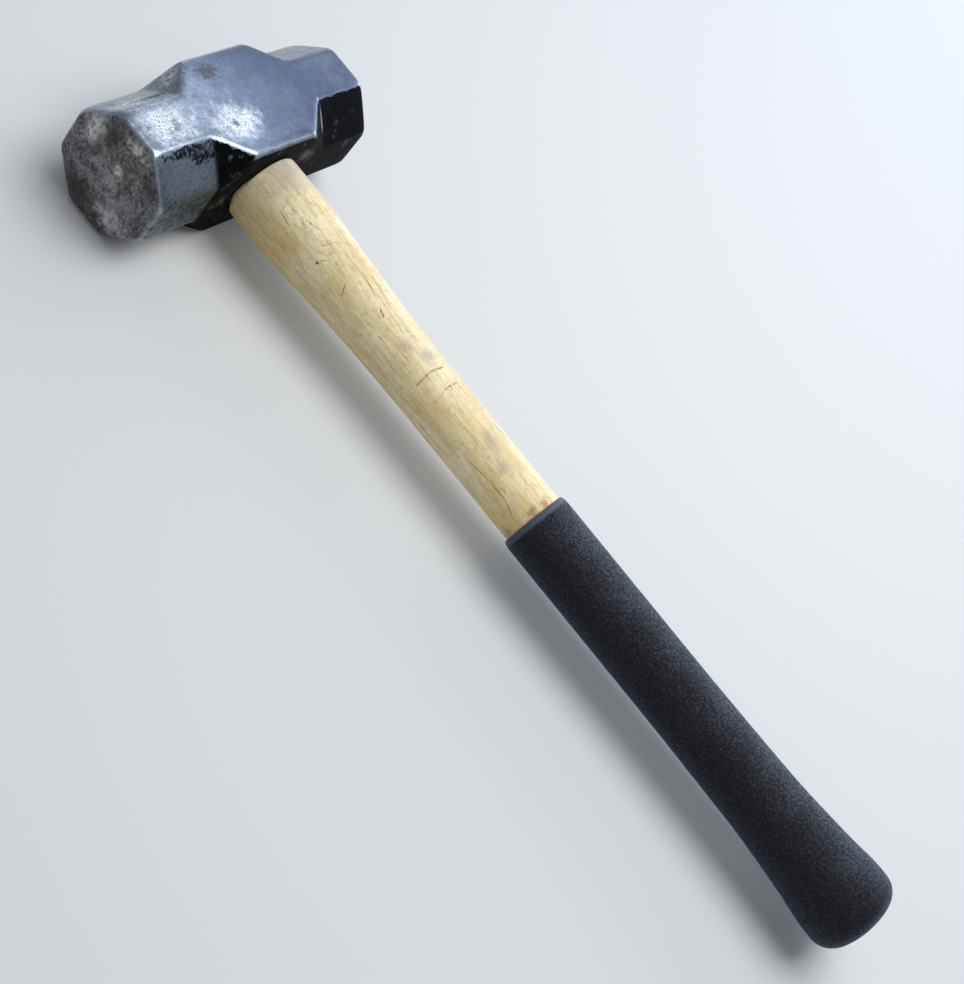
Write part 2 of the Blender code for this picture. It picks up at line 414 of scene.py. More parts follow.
def centred(tree, middle):
    """The piece's own coordinates, measured from the given middle."""
    place = add(tree, "TexCoord", out=3)
    return add(tree, "VectorMath", place, middle, operation="SUBTRACT")


def new_group(name, **inputs):
    """A node group that makes a mask from the named inputs, with its inner ends."""
    tree = bpy.data.node_groups.new(name, "ShaderNodeTree")
    for label, value in inputs.items():
        kind = "NodeSocketFloat" if isinstance(value, float) else "NodeSocketVector"
        socket = tree.interface.new_socket(name=label, in_out="INPUT", socket_type=kind)
        socket.default_value = value
    tree.interface.new_socket(name="Mask", in_out="OUTPUT", socket_type="NodeSocketFloat")
    given, result = tree.nodes.new("NodeGroupInput"), tree.nodes.new("NodeGroupOutput")
    return tree, given.outputs, result.inputs


def use_group(tree, group, **named):
    node = tree.nodes.new("ShaderNodeGroup")
    node.node_tree = group
    for name, value in named.items():
        set_input(tree, node.inputs[name], value)
    return node.outputs[0]


# A scar: a ragged line between two places, as a scratch, a crack or a row of scuffs makes
origin = (0.0, 0.0, 0.0)
scar_group, given, result = new_group(
    "scar", Point=origin, From=origin, To=origin, Width=0.0005, Ragged=0.0005
)
t = scar_group
wobble = add(t, "TexNoise", given["Point"], Scale=650.0, Detail=3.0, out=1)
wobble = add(t, "VectorMath", wobble, (0.5, 0.5, 0.5), operation="SUBTRACT")
wobble = add(t, "VectorMath", wobble, Scale=given["Ragged"], operation="SCALE")
point = add(t, "VectorMath", given["Point"], wobble, operation="ADD")
line = add(t, "VectorMath", given["To"], given["From"], operation="SUBTRACT")
reach = add(t, "VectorMath", point, given["From"], operation="SUBTRACT")
ahead = add(t, "VectorMath", reach, line, operation="DOT_PRODUCT", out=1)
square = add(t, "VectorMath", line, line, operation="DOT_PRODUCT", out=1)
share = add(t, "Math", ahead, square, operation="DIVIDE", use_clamp=True)
nearest = add(t, "VectorMath", line, Scale=share, operation="SCALE")
apart = add(t, "VectorMath", reach, nearest, operation="DISTANCE", out=1)
ends = add(t, "Math", 1.0, share, operation="SUBTRACT")
ends = add(t, "Math", share, ends, operation="MULTIPLY")
ends = add(t, "Math", ends, 4.0, operation="MULTIPLY")
ends = add(t, "Math", ends, 0.6, operation="POWER")
width = add(t, "Math", ends, given["Width"], operation="MULTIPLY")
narrow = add(t, "Math", width, 0.35, operation="MULTIPLY")
mask = add(t, "MapRange", apart, narrow, width, 1.0, 0.0)
t.links.new(mask, result["Mask"])

# A patch: a soft, ragged spot of stain, bruise or polish
patch_group, given, result = new_group(
    "patch", Point=origin, Centre=origin, Size=(0.01, 0.01, 0.01), Soft=0.7, Ragged=0.5, Grain=300.0
)
t = patch_group
point = given["Point"]
apart = add(t, "VectorMath", point, given["Centre"], operation="SUBTRACT")
apart = add(t, "VectorMath", apart, given["Size"], operation="DIVIDE")
far = add(t, "VectorMath", apart, operation="LENGTH", out=1)
broken = add(t, "TexNoise", point, Scale=given["Grain"], Detail=4.0)
broken = add(t, "Math", broken, 0.5, operation="SUBTRACT")
broken = add(t, "Math", broken, given["Ragged"], operation="MULTIPLY")
broken = add(t, "Math", broken, 2.0, operation="MULTIPLY")
far = add(t, "Math", far, broken, operation="ADD")
inner = add(t, "Math", 1.0, given["Soft"], operation="SUBTRACT")
mask = add(t, "MapRange", far, inner, 1.0, 1.0, 0.0, interpolation_type="SMOOTHSTEP")
t.links.new(mask, result["Mask"])


def new_finish(name, **plain):
    """A material whose shader has the given values that are the same all over."""
    material = bpy.data.materials.new(name)
    material.use_nodes = True
    shader = material.node_tree.nodes["Principled BSDF"]
    for label, value in plain.items():
        set_input(material.node_tree, shader.inputs[label.replace("_", " ")], value)
    return material, material.node_tree, shader


def surface(tree, shader, **parts):
    for label, value in parts.items():
        set_input(tree, shader.inputs[label.replace("_", " ")], value)


def own(tree, name):
    """A value stored on the piece's points."""
    return add(tree, "Attribute", attribute_name=name, out=2)


steel, t, shader = new_finish("ground and worn tool steel")
place = centred(t, head_middle)
edge, face, facing_handle, crown_side = (own(t, name) for name in ("edge", "face", "facing_handle", "crown"))


def scar(tree, point, start, end, width, ragged=0.0004):
    values = dict(Point=point, From=start, To=end, Width=width, Ragged=ragged)
    return use_group(tree, scar_group, **values)


def patch(tree, point, middle, size, soft=0.7, ragged=0.5, grain=300.0):
    values = dict(Point=point, Centre=middle, Size=size, Soft=soft, Ragged=ragged, Grain=grain)
    return use_group(tree, patch_group, **values)


def all_of(tree, masks):
    """The strongest of several masks."""
    joined = masks[0]
    for mask in masks[1:]:
        joined = either(tree, joined, mask)
    return joined


def less(tree, value):
    return add(tree, "Math", 1.0, value, operation="SUBTRACT", use_clamp=True)


new_metal = (0.27, 0.325, 0.43)
falloff_metal = (0.088, 0.115, 0.188)
dulled_metal = (0.20, 0.235, 0.325)
falloff_dark_metal = (0.085, 0.110, 0.180)
crown_painted_light = (0.46, 0.50, 0.56)
highlight_white = (0.88, 0.93, 0.96)
blotch_grey = (0.15, 0.175, 0.225)
fleck_grey = (0.10, 0.115, 0.15)
speck_black = (0.04, 0.045, 0.06)
salt_grey = (0.22, 0.26, 0.33)
smudge_brown = (0.060, 0.048, 0.046)
slit_black = (0.012, 0.012, 0.014)
slope_grey = (0.32, 0.28, 0.30)
slope_sparkle = (0.95, 0.92, 0.95)
rubbed_dark = (0.10, 0.125, 0.15)
rubbed_light = (0.21, 0.25, 0.30)
rubbed_speck = (0.03, 0.035, 0.04)
pit_black = (0.008, 0.008, 0.009)
scale_and_shade_black = (0.002, 0.002, 0.0025)
scale_and_shade_grey = (0.008, 0.009, 0.011)
draw_mark_grey = (0.05, 0.06, 0.07)
worn_scale = (0.11, 0.13, 0.16)
rust_brown = (0.105, 0.055, 0.022)
smut_dark = (0.115, 0.110, 0.115)
smut_light = (0.40, 0.40, 0.425)
face_rim_dark = (0.024, 0.022, 0.022)
smut_brown = (0.11, 0.095, 0.085)
smut_fleck = (0.42, 0.42, 0.44)
smut_black = (0.022, 0.020, 0.020)
smut_speck = (0.020, 0.020, 0.022)
soot = (0.035, 0.033, 0.036)
pale_metal = (0.66, 0.655, 0.66)
deep_black = (0.008, 0.008, 0.008)
bright_edge_and_gleam = (0.62, 0.67, 0.75)

broad = add(t, "TexNoise", place, Scale=38.0, Detail=3.0)
blotch = add(t, "TexNoise", place, Scale=150.0, Detail=6.0, Roughness=0.65)
fine = add(t, "TexNoise", place, Scale=620.0, Detail=4.0, Roughness=0.7)
speckle = add(t, "TexNoise", place, Scale=1500.0, Detail=3.0, Roughness=0.7)
pores = add(t, "TexVoronoi", place, Scale=420.0)
grinding = drawn_noise(t, place, (2600, 260, 500), (0, 0, 0.75), Detail=3.0)
draw_marks = drawn_noise(t, place, (90, 1500, 1500), (0, 0, 0.1), Detail=3.0)

# Bright ground steel, darker towards the far end as a painted falloff of the light, with
# near-white patches on the cheek that are painted highlights
painted_highlight = all_of(t, [
    patch(t, place, (-0.057, 0.000, 0.0285), (0.025, 0.016, 0.02), 1.0, 0.5, 240.0),
    patch(t, place, (-0.019, -0.009, 0.0285), (0.021, 0.013, 0.02), 1.0, 0.5, 240.0),
    patch(t, place, (-0.060, 0.018, 0.024), (0.018, 0.007, 0.01), 0.9, 0.4, 300.0),
])
along_head = add(t, "SeparateXYZ", place)
painted_falloff = step(t, along_head, -0.035, 0.030)
clear_steel = tint(t, painted_falloff, new_metal, falloff_metal)
bright = tint(t, step(t, broad, 0.38, 0.70, 0.0, 0.8), clear_steel, dulled_metal)
bright = tint(t, times(t, painted_falloff, 0.5), bright, falloff_dark_metal)
# Faces towards the head's top are tinted lighter: painted light
bright = tint(t, times(t, crown_side, 0.7), bright, crown_painted_light)
bright = tint(t, painted_highlight, bright, highlight_white)
speck_strength = shift(t, painted_highlight, 0.62, 1.0)
bright = tint(t, times(t, step(t, blotch, 0.50, 0.68), speck_strength), bright, blotch_grey)
flecked = times(t, step(t, fine, 0.52, 0.64), times(t, speck_strength, 0.7))
bright = tint(t, flecked, bright, fleck_grey)
dark_speck = either(t, step(t, speckle, 0.56, 0.64), step(t, grinding, 0.62, 0.70))
dark_speck = times(t, dark_speck, speck_strength)
bright = tint(t, times(t, dark_speck, 0.8), bright, speck_black)
salted = times(t, painted_highlight, step(t, speckle, 0.47, 0.55, 0.0, 0.75))
bright = tint(t, salted, bright, salt_grey)
bright_rough = shift(t, step(t, blotch, 0.3, 0.7), 0.24, 0.36)
bright_rough = shift(t, step(t, grinding, 0.45, 0.62, 0.0, 0.6), bright_rough, 0.40)
bright_rough = shift(t, dark_speck, bright_rough, 0.6)

# Where the cheek has been bruised, and black marks along the corners
smudged = patch(t, place, (-0.013, 0.0185, 0.0285), (0.011, 0.006, 0.02), 0.9, 0.8, 420.0)
bright = tint(t, times(t, smudged, 0.75), bright, smudge_brown)
slits = all_of(t, [
    scar(t, place, (-0.0600, 0.0182, 0.0221), (-0.0370, 0.0168, 0.0236), 0.0016, 0.0010),
    scar(t, place, (-0.0560, 0.0160, 0.0243), (-0.0400, 0.0150, 0.0254), 0.0007, 0.0010),
])
slits = times(t, slits, step(t, fine, 0.40, 0.52))
bright = tint(t, times(t, slits, 0.92), bright, slit_black)
bright_rough = shift(t, slits, bright_rough, 0.7)

# A pinkish-grey patch on the near upper slope, its near-white flecks a painted sparkle of light
slope_patch_and_sparkle = patch(t, place, (-0.0300, 0.0235, 0.0235), (0.012, 0.008, 0.008), 1.0, 0.8, 420.0)
slope_fleck = tint(t, step(t, fine, 0.38, 0.54), slope_grey, slope_sparkle)
bright = tint(t, times(t, slope_patch_and_sparkle, 0.85), bright, slope_fleck)

# The near end's lower corner is rubbed to a grey sheen, with black pits along its upper edge
rubbed = tint(t, blotch, rubbed_dark, rubbed_light)
rubbed = tint(t, step(t, fine, 0.5, 0.66, 0.0, 0.6), rubbed, rubbed_speck)
pitted = all_of(t, [
    patch(t, place, (-0.054, -0.0135, 0.0265), (0.017, 0.0035, 0.005), 0.5, 1.1, 520.0),
    patch(t, place, (-0.045, -0.0165, 0.0235), (0.010, 0.004, 0.005), 0.6, 1.2, 480.0),
    patch(t, place, (-0.058, -0.0285, 0.0), (0.030, 0.004, 0.014), 0.9, 1.3, 380.0),
])
rubbed = tint(t, times(t, pitted, step(t, fine, 0.36, 0.5)), rubbed, pit_black)

# Black scale on the faces towards the handle, worn through here and there; its near-black is also
# painted shade there
worn_through = times(t, step(t, blotch, 0.58, 0.66), step(t, fine, 0.42, 0.58))
streaked = step(t, draw_marks, 0.62, 0.72)
black = tint(t, blotch, scale_and_shade_black, scale_and_shade_grey)
black = tint(t, times(t, streaked, 0.3), black, draw_mark_grey)
black = tint(t, times(t, worn_through, 0.8), black, worn_scale)
near_end = step(t, along_head, -0.0405, -0.0365, 1.0, 0.0)
lower = tint(t, near_end, black, rubbed)
lower_rough = shift(t, near_end, 0.85, 0.38)
dark_side_edge = add(t, "Math", facing_handle, step(t, blotch, 0.3, 0.7, -0.3, 0.3), operation="ADD")
scale_and_shade = step(t, dark_side_edge, 0.4, 0.6)
colour = tint(t, scale_and_shade, bright, lower)
rough = shift(t, scale_and_shade, bright_rough, lower_rough)
metal = shift(t, times(t, scale_and_shade, less(t, near_end)), 1.0, 0.95)

# Rust where the haft meets the underside
rusty = all_of(t, [
    patch(t, place, (-0.029, -0.0285, -0.001), (0.007, 0.003, 0.006), 0.9, 1.0, 420.0),
    patch(t, place, (0.024, -0.0285, 0.013), (0.008, 0.003, 0.007), 0.9, 1.0, 420.0),
])
rusty = times(t, rusty, step(t, blotch, 0.35, 0.55))
colour = tint(t, times(t, rusty, 0.9), colour, rust_brown)
rough = shift(t, rusty, rough, 0.8)
metal = shift(t, rusty, metal, 0.0)

# Mottled striking faces, lighter in the middle and darker out to the bevel, with sooty patches
pit = step(t, pores, 0.0, 0.3, 1.0, 0.0)
pit = times(t, pit, step(t, blotch, 0.5, 0.66))
smut = tint(t, step(t, blotch, 0.36, 0.62), smut_dark, smut_light)
face_middle = patch(t, place, (-0.075, -0.001, -0.002), (0.2, 0.024, 0.024), 0.9, 0.5, 150.0)
smut = tint(t, face_middle, tint(t, 0.55, smut, face_rim_dark), smut)
smut = tint(t, step(t, broad, 0.46, 0.64, 0.0, 0.6), smut, smut_brown)
smut = tint(t, step(t, fine, 0.50, 0.64, 0.0, 0.50), smut, smut_fleck)
smut = tint(t, step(t, fine, 0.34, 0.46, 0.5, 0.0), smut, smut_black)
smut = tint(t, step(t, speckle, 0.50, 0.60, 0.0, 0.5), smut, smut_speck)
sooty = all_of(t, [
    patch(t, place, (-0.075, 0.0100, -0.0170), (0.02, 0.015, 0.010), 1.0, 0.7, 200.0),
    patch(t, place, (-0.075, 0.0080, 0.0185), (0.02, 0.008, 0.007), 1.0, 0.8, 260.0),
    patch(t, place, (-0.075, -0.0190, 0.0120), (0.02, 0.008, 0.008), 1.0, 0.8, 260.0),
])
smut = tint(t, times(t, sooty, 0.75), smut, soot)
pale_spots = all_of(t, [
    patch(t, place, (-0.075, -0.0125, -0.0155), (0.02, 0.012, 0.008), 1.0, 0.9, 260.0),
    patch(t, place, (-0.075, 0.0175, 0.0130), (0.02, 0.008, 0.015), 1.0, 0.9, 260.0),
    patch(t, place, (-0.075, -0.0028, 0.0072), (0.02, 0.0040, 0.0040), 1.0, 1.0, 400.0),
    patch(t, place, (-0.075, -0.0040, 0.0235), (0.02, 0.010, 0.004), 1.0, 1.0, 350.0),
    patch(t, place, (0.075, 0.004, 0.006), (0.01, 0.009, 0.007), 1.0, 0.8, 300.0),
])
smut = tint(t, times(t, pale_spots, step(t, fine, 0.34, 0.52, 0.15, 0.8)), smut, pale_metal)
smut = tint(t, pit, smut, deep_black)
colour = tint(t, face, colour, smut)
rough = shift(t, face, rough, shift(t, blotch, 0.60, 0.42))
metal = shift(t, face, metal, 0.85)

# Edges worn bright, less so around the striking face, and a painted highlight along one corner of
# the far end
edge_wear_and_gleam = times(t, step(t, edge, 0.07, 0.24), step(t, blotch, 0.28, 0.46))
rim = step(t, along_head, -0.0700, -0.0655, 0.42, 1.0)
far_corner_gleam = scar(t, place, (0.0377, -0.0105, 0.0287), (0.0377, -0.0245, 0.0155), 0.0014, 0.0002)
edge_wear_and_gleam = either(t, times(t, edge_wear_and_gleam, rim), far_corner_gleam)
colour = tint(t, times(t, edge_wear_and_gleam, 0.85), colour, bright_edge_and_gleam)
rough = shift(t, edge_wear_and_gleam, rough, 0.27)
metal = shift(t, edge_wear_and_gleam, metal, 1.0)

height = add(t, "Math", times(t, pit, face), -1.0, operation="MULTIPLY")
height = add(t, "Math", height, times(t, speckle, 0.4), operation="ADD")
height = add(t, "Math", height, times(t, fine, 0.5), operation="ADD")
height = add(t, "Math", height, times(t, grinding, 0.3), operation="ADD")
height = add(t, "Math", height, slits, operation="SUBTRACT")
flatter = shift(t, either(t, face, scale_and_shade), 0.00010, 0.00016)
bump = add(t, "Bump", Strength=0.35, Distance=flatter, Height=height)
surface(t, shader, Base_Color=colour, Roughness=rough, Metallic=metal, Normal=bump)

head.data.materials.append(steel)
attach(head, "root")
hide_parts("hammer_head")


# ---------------------------------------------------------------------------------------------
# Handle. A haft of ash, turned oval, thick under the head and slim where the second hand slides.
# Its tenon fills the eye and is wedged there, and a ledge around the tenon stops against the
# head's underside. It is sanded, and oiled by the hands that use it.

haft_low, haft_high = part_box("handle")
grip_low, grip_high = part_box("grip_sleeve")
head_underside = head_low.y
tenon_end = haft_high.y
gap = 0.0003

neck_half = Vector((0.01855, 0.0191))  # along the head, and towards its cheeks
waist_half = Vector((0.01595, 0.01435))
shoulder_round = 0.0008
tenon_foot = 0.0004
tenon_edge = 0.0004
hidden_step = 0.012  # between the rings inside the grip
open_step = 0.004
# Distance below the head, and share of the way from the neck's size to the waist's
neck_taper = ((0.0, 0.0), (0.030, 0.02), (0.058, 0.46), (0.098, 0.89), (0.150, 1.0))
haft_columns = 40


def smooth_through(marks, place):
    """The value at a place on a smooth curve through (place, value) marks, level at both ends."""
    inner = [(c[1] - a[1]) / (c[0] - a[0]) for a, c in zip(marks, marks[2:])]
    slopes = [0.0, *inner, 0.0]
    place = min(max(place, marks[0][0]), marks[-1][0])
    for start, end, leaves, arrives in zip(marks, marks[1:], slopes, slopes[1:]):
        if place <= end[0]:
            run = end[0] - start[0]
            u = (place - start[0]) / run
            from_start = start[1] + u * u * (3 - 2 * u) * (end[1] - start[1])
            return from_start + run * u * (1 - u) * ((1 - u) * leaves - u * arrives)
    return marks[-1][1]


def haft_half(y):
    return neck_half.lerp(waist_half, smooth_through(neck_taper, head_underside - y))


def oval_ring(half, y, count):
    """A ring around the handle's axis, let out by what smoothing will draw it in."""
    out = 3 / (2 + math.cos(2 * math.pi / count))
    turns = [2 * math.pi * k / count for k in range(count)]
    return [
        Vector((
            head_middle.x + half[0] * out * math.cos(a), y,
            head_middle.z + half[1] * out * math.sin(a),
        ))
        for a in turns
    ]


def evenly(low, high, apart):
    count = max(1, math.ceil(abs(high - low) / apart))
    return [low + (high - low) * k / count for k in range(count + 1)]


evenly_in = Vector((1, 1))
shoulder = head_underside - gap
tenon_half = Vector((eye_half_length + eye_flare / 2 - gap, eye_half_width + eye_flare / 2 - gap))
tenon_top_half = Vector((eye_half_length + eye_flare - gap, eye_half_width + eye_flare - gap))
haft_rings = [(Vector((0.002, 0.002)), haft_low.y), (haft_half(haft_low.y) * 0.9, haft_low.y)]
for low, high, apart in (
    (haft_low.y + 0.0005, grip_high.y - 2 * open_step, hidden_step),
    (grip_high.y - open_step, shoulder - 0.0015, open_step),
):
    haft_rings += [(haft_half(y), y) for y in evenly(low, high, apart)]
haft_rings += [
    (haft_half(shoulder) - 0.0002 * evenly_in, shoulder - 0.0003),
    (haft_half(shoulder) - shoulder_round * evenly_in, shoulder),
    (tenon_half + tenon_foot * evenly_in, shoulder),
    (tenon_half, shoulder + tenon_foot),
]
haft_rings += [
    (tenon_half.lerp(tenon_top_half, k / 6), shoulder + (tenon_end - shoulder) * k / 6)
    for k in range(1, 6)
]
haft_rings += [
    (tenon_top_half, tenon_end - 0.0006),
    (tenon_top_half - tenon_edge * evenly_in, tenon_end),
    *((tenon_top_half * share, tenon_end) for share in (0.7, 0.4, 0.15)),
]


def turned_piece(name, rings, columns, levels=0):
    """A closed oval piece, drawn through rings of (half widths, place along the handle)."""
    bm = bmesh.new()
    column = bm.verts.layers.int.new("column")
    ring = start_ring(bm, column, oval_ring(*rings[0], columns))
    first_ring = ring
    for half, y in rings[1:]:
        ring = draw_ring(bm, column, ring, oval_ring(half, y, columns))
    for end in (first_ring, ring):
        bmesh.ops.edgeloop_fill(bm, edges=ring_edges(end))
    bmesh.ops.recalc_face_normals(bm, faces=bm.faces)
    return finished(name, bm, levels)


haft = turned_piece("ash_haft", haft_rings, haft_columns, levels=2)

co, no = read_points(haft.data)
along = co * np.array([1.0, 0.12, 1.0])
depth = dented(along, 0.00010, 0.009, 5.0) + dented(co, 0.00006, 0.006, 12.0)
exposed = (co[:, 1] > grip_high.y - 0.004) & (co[:, 1] < shoulder - 0.001)
write_points(haft.data, co - no * (depth * exposed)[:, None])
haft.data.shade_smooth()


# Finish of the haft: pale ash. Its grain runs along it, a little off its axis, and it has dark
# pores, a few checks from drying near the head, and cracks across the grain where it was struck.

def on_haft(below, turn):
    """A place on the haft's skin, from its distance below the head and its angle around."""
    half = haft_half(head_underside - below)
    angle = math.radians(turn)
    y = head_underside - below - head_middle.y
    return half[0] * math.cos(angle), y, half[1] * math.sin(angle)


ash, t, shader = new_finish("sanded ash", Specular_IOR_Level=0.4)
place = centred(t, head_middle)


def grain(tree, point, across, along, detail=3.0):
    stretch = (across, along, across)
    return drawn_noise(tree, point, stretch, (0, 0, 0.02), Detail=detail, Roughness=0.6)


bowed = drawn_noise(t, place, (30, 6, 30), out=1, Detail=2.0)
bowed = add(t, "VectorMath", bowed, Scale=0.012, operation="SCALE")
straying = add(t, "VectorMath", place, bowed, operation="ADD")
fibre = grain(t, straying, 1400, 90)
streak = grain(t, straying, 560, 34)
cloud = grain(t, straying, 95, 22)
broad_grain = grain(t, straying, 45, 14)
fleck = grain(t, straying, 900, 150, 2.0)
mottle = add(t, "TexNoise", place, Scale=330.0, Detail=4.0, Roughness=0.65)

turned = add(t, "SeparateXYZ", place)
shaded_side = step(t, turned, -0.018, 0.008, 1.0, 0.0)
ash_dark = (0.70, 0.565, 0.30)
ash_pale = (0.86, 0.765, 0.53)
ash_shade_side = (0.69, 0.485, 0.17)
streak_brown = (0.52, 0.385, 0.165)
fibre_brown = (0.45, 0.33, 0.15)
mottle_brown = (0.52, 0.375, 0.155)
ash_lit_side = (0.60, 0.56, 0.46)
ash_neck_shade = (0.38, 0.345, 0.29)
pore_brown = (0.17, 0.115, 0.055)
bruise_and_shade_grey = (0.30, 0.24, 0.22)
stain_brown = (0.23, 0.095, 0.04)
ridge_highlight_ash = (0.88, 0.79, 0.54)
crack_black = (0.085, 0.052, 0.026)

wood = tint(t, step(t, cloud, 0.30, 0.70), ash_dark, ash_pale)
# Painted shade: the side away from the lights is tinted darker and yellower
wood = tint(t, times(t, shaded_side, step(t, broad_grain, 0.36, 0.66)), wood, ash_shade_side)
wood = tint(t, step(t, streak, 0.48, 0.68, 0.0, 0.45), wood, streak_brown)
wood = tint(t, step(t, fibre, 0.50, 0.64, 0.0, 0.50), wood, fibre_brown)
wood = tint(t, step(t, mottle, 0.50, 0.64, 0.0, 0.42), wood, mottle_brown)
# Painted light: the side towards the lights is tinted paler and greyer
painted_lit_side = step(t, turned, 0.001, 0.014, 0.0, 0.5)
wood = tint(t, times(t, painted_lit_side, step(t, broad_grain, 0.66, 0.40)), wood, ash_lit_side)
# Painted shade: greyer and darker just under the head, where the haft meets it
neck_shade = patch(t, place, on_haft(0.002, 80), (0.030, 0.026, 0.030), 1.0, 0.4, 90.0)
wood = tint(t, times(t, neck_shade, 0.55), wood, ash_neck_shade)
pore = times(t, step(t, fleck, 0.63, 0.72), step(t, streak, 0.44, 0.58))
wood = tint(t, times(t, pore, 0.6), wood, pore_brown)

# Bruises from the hands and from things it has been laid on; the broad one 8 mm under the head is
# painted shade where the haft meets the head
bruises_and_neck_shade = all_of(t, [
    patch(t, place, on_haft(below * 0.001, turn), (wide, tall, wide), 1.0, 0.6, 240.0)
    for below, turn, wide, tall in (
        (111, 95, 0.006, 0.006), (102, 118, 0.006, 0.007), (159, 106, 0.006, 0.009),
        (171, 117, 0.006, 0.006), (8, 103, 0.013, 0.013), (60, 20, 0.008, 0.012),
        (130, -60, 0.007, 0.010),
    )
])
wood = tint(t, times(t, bruises_and_neck_shade, 0.5), wood, bruise_and_shade_grey)
stained = all_of(t, [
    patch(t, place, on_haft(below * 0.001, turn), (wide, tall, wide), 0.9, 0.9, 420.0)
    for below, turn, wide, tall in (
        (196.5, -167, 0.004, 0.006), (196, 128, 0.006, 0.004), (196.5, 99, 0.005, 0.003),
        (197, 20, 0.006, 0.004), (197, -90, 0.007, 0.005),
    )
])
wood = tint(t, times(t, stained, 0.6), wood, stain_brown)

# Drying checks along the grain, and cracks across it where it has been struck
cracks = [
    (2, 137, 19.5, 142, 0.00020, 0.0006), (19.5, 142, 29, 146, 0.00034, 0.0006),
    (29, 146, 36, 148, 0.00022, 0.0008), (29, 124, 39, 113, 0.00034, 0.0022),
    (43.8, 128, 47, 99, 0.00060, 0.0013), (47, 99, 55, 69, 0.00055, 0.0012),
    (48, 149, 49.2, 145, 0.0012, 0.0006), (43.4, 156, 52, 131, 0.00034, 0.0016),
    (63.7, 132, 67.1, 151, 0.00042, 0.0003), (81, 112, 86.4, 118, 0.0006, 0.0014),
    (64, 100, 78, 107, 0.00032, 0.0005), (66.7, 87, 83, 93, 0.00030, 0.0005),
    (119.4, 147, 118.2, 114, 0.00095, 0.0008), (118.2, 114, 119.5, 84, 0.00080, 0.0009),
    (130.6, 142, 128.4, 107, 0.00070, 0.0010), (128.4, 107, 128.8, 77, 0.00060, 0.0010),
    (161, 158, 173.5, 153, 0.00032, 0.0006), (173.5, 153, 184, 153, 0.00036, 0.0006),
    (184, 153, 191, 160, 0.00030, 0.0005), (152, 71, 163, 69, 0.00040, 0.0007),
    (136.7, 73, 146, 62, 0.00034, 0.0010), (12, -120, 44, -112, 0.00036, 0.0004),
    (70, -60, 96, -66, 0.00032, 0.0005), (150, -100, 176, -96, 0.00032, 0.0005),
    (30, 10, 62, 16, 0.00032, 0.0005), (98, 30, 101, -5, 0.00036, 0.0012),
]
crack = all_of(t, [
    scar(t, place, on_haft(a * 0.001, turn), on_haft(b * 0.001, turn_end), width, ragged)
    for a, turn, b, turn_end, width, ragged in cracks
])
# A painted highlight: a pale line along the ridge beside one crack
ridge_highlight = scar(t, place, on_haft(0.1208, 147), on_haft(0.1212, 98), 0.0010, 0.0005)
wood = tint(t, times(t, ridge_highlight, 0.7), wood, ridge_highlight_ash)
wood = tint(t, times(t, crack, 0.78), wood, crack_black)
smooth_rough = shift(t, step(t, streak, 0.4, 0.7), 0.48, 0.62)

height = add(t, "Math", times(t, fibre, 0.5), times(t, streak, 0.5), operation="ADD")
height = add(t, "Math", height, times(t, pore, 0.7), operation="SUBTRACT")
cleft = add(t, "Math", crack, 2.0, operation="MULTIPLY")
height = add(t, "Math", height, cleft, operation="SUBTRACT")
bump = add(t, "Bump", Strength=0.5, Distance=0.00014, Height=height)
surface(t, shader, Base_Color=wood, Roughness=smooth_rough, Normal=bump)
haft.data.materials.append(ash)
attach(haft, "root")
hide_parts("handle")


# ---------------------------------------------------------------------------------------------
# Wooden wedge. A strip of hard dark wood, sawn to a taper. It is driven into a saw cut along the
# tenon, which spreads the tenon until it fills the flared eye, and is trimmed flush near the top.

wedge_clearance = 0.00015  # between a wedge and the wood around it
wood_tip = 0.0016
wood_round = 0.0002
wood_overreach = 0.002  # past the tenon at each end, before it is trimmed to the eye's oval
plug_columns = 96
merge_within = 1e-6


def wedge_shape(low, high, thin, flat):
    """A wedge that points down the handle, as a bmesh. thin is its thickness at the tip, and flat
    says which way it is thin: 0 along the head, 2 towards the cheeks."""
    bm = bmesh.new()
    bmesh.ops.create_cube(bm, size=1.0)
    size = high - low
    middle = (high + low) / 2
    for vert in bm.verts:
        tip = vert.co.y < 0
        vert.co = Vector(vert.co[i] * size[i] for i in range(3))
        if tip:
            vert.co[flat] *= thin / size[flat]
        vert.co += middle
    return bm


def wedge_piece(name, low, high, thin, flat, rounding, cuts):
    """A wedge with rounded edges, in small faces."""
    bm = wedge_shape(low, high, thin, flat)
    bmesh.ops.bevel(
        bm, geom=bm.edges[:], offset=rounding, segments=3, profile=0.5, affect="EDGES", material=-1
    )
    bmesh.ops.subdivide_edges(bm, edges=bm.edges[:], cuts=cuts, use_grid_fill=True)
    return finished(name, bm)


def cut_with(piece, cutter, operation):
    """Cuts one piece with another, and merges the doubles that the cut leaves."""
    boolean = piece.modifiers.new("cut", "BOOLEAN")
    boolean.operation = operation
    boolean.object = cutter
    apply_modifiers(piece)
    cleaned = bmesh.new()
    cleaned.from_mesh(piece.data)
    bmesh.ops.remove_doubles(cleaned, verts=cleaned.verts, dist=merge_within)
    bmesh.ops.dissolve_degenerate(cleaned, edges=cleaned.edges, dist=merge_within)
    cleaned.to_mesh(piece.data)
    cleaned.free()


def wedge_opening(low, high, thin, flat):
    """What a wedge opens in the wood: its own shape, a little larger and carried on above."""
    more = Vector((wedge_clearance, 0, wedge_clearance))
    top = Vector((0, 0.004, 0))
    lean = (high[flat] - low[flat] - thin) / (high.y - low.y)
    wider = Vector((0, 0, 0))
    wider[flat] = lean * top.y / 2
    thin += 2 * wedge_clearance
    low, high = low - more - wider, high + more + top + wider
    return finished("opening", wedge_shape(low, high, thin, flat))


